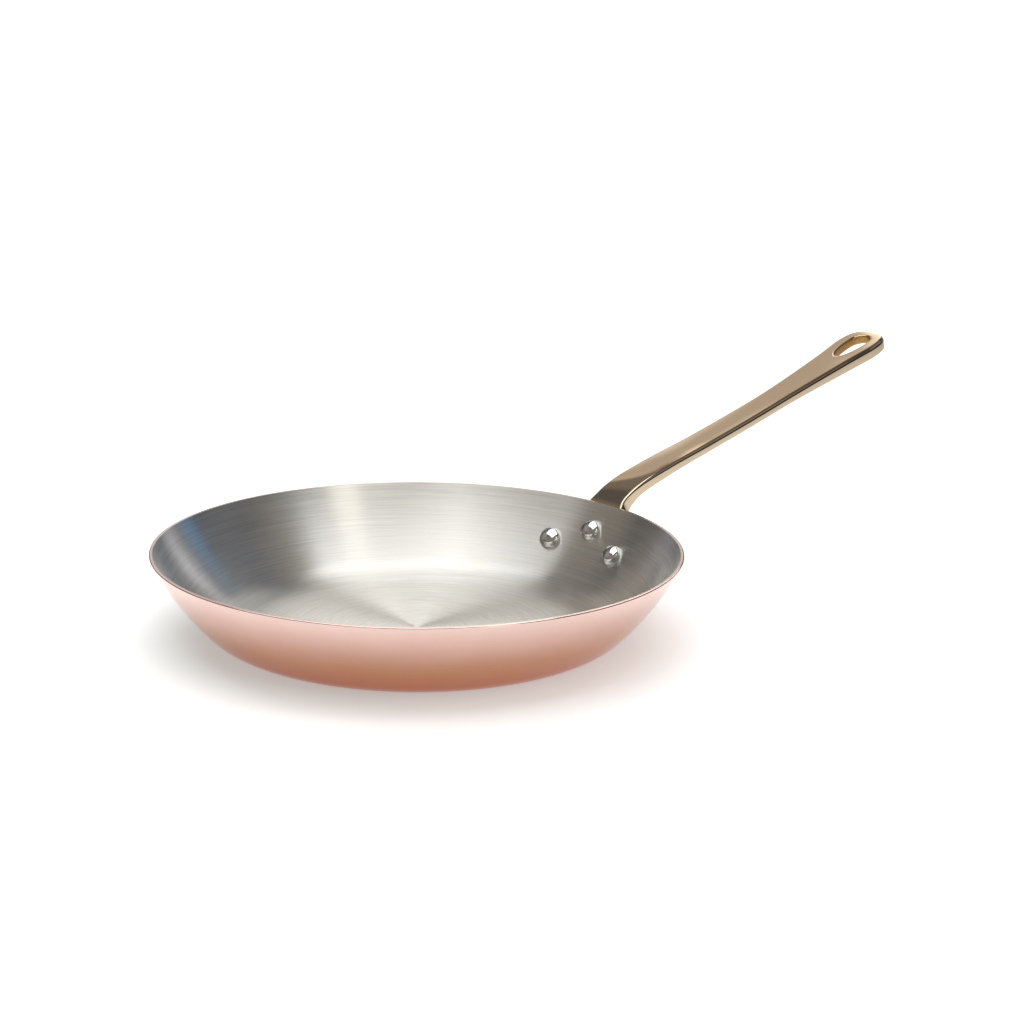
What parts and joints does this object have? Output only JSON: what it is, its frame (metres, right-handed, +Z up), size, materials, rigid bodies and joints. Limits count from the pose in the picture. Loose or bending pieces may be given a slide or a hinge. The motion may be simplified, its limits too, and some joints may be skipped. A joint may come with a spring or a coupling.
{
  "type": "frying pan",
  "caption": "Shallow round copper frying pan with a flared wall, a brushed steel lining and a long riveted brass handle that ends in a hanging eye.",
  "frame": {"origin": "centre of the pan's flat base, on the surface that the pan stands on", "axes": "+X from the pan's centre towards the handle's end, +Z up, out of the pan's mouth"},
  "size_m": [0.517, 0.2792, 0.115],
  "materials": {
    "copper": "polished copper",
    "lining_steel": "brushed round the pan's axis",
    "handle_brass": "polished casting",
    "rivet_steel": "mirror-polished steel"
  },
  "bodies": {
    "root": {"copper_body": "copper", "steel_lining": "lining_steel", "handle": "handle_brass", "rivet_top": "rivet_steel", "rivet_left": "rivet_steel", "rivet_right": "rivet_steel"}
  },
  "joints": []
}
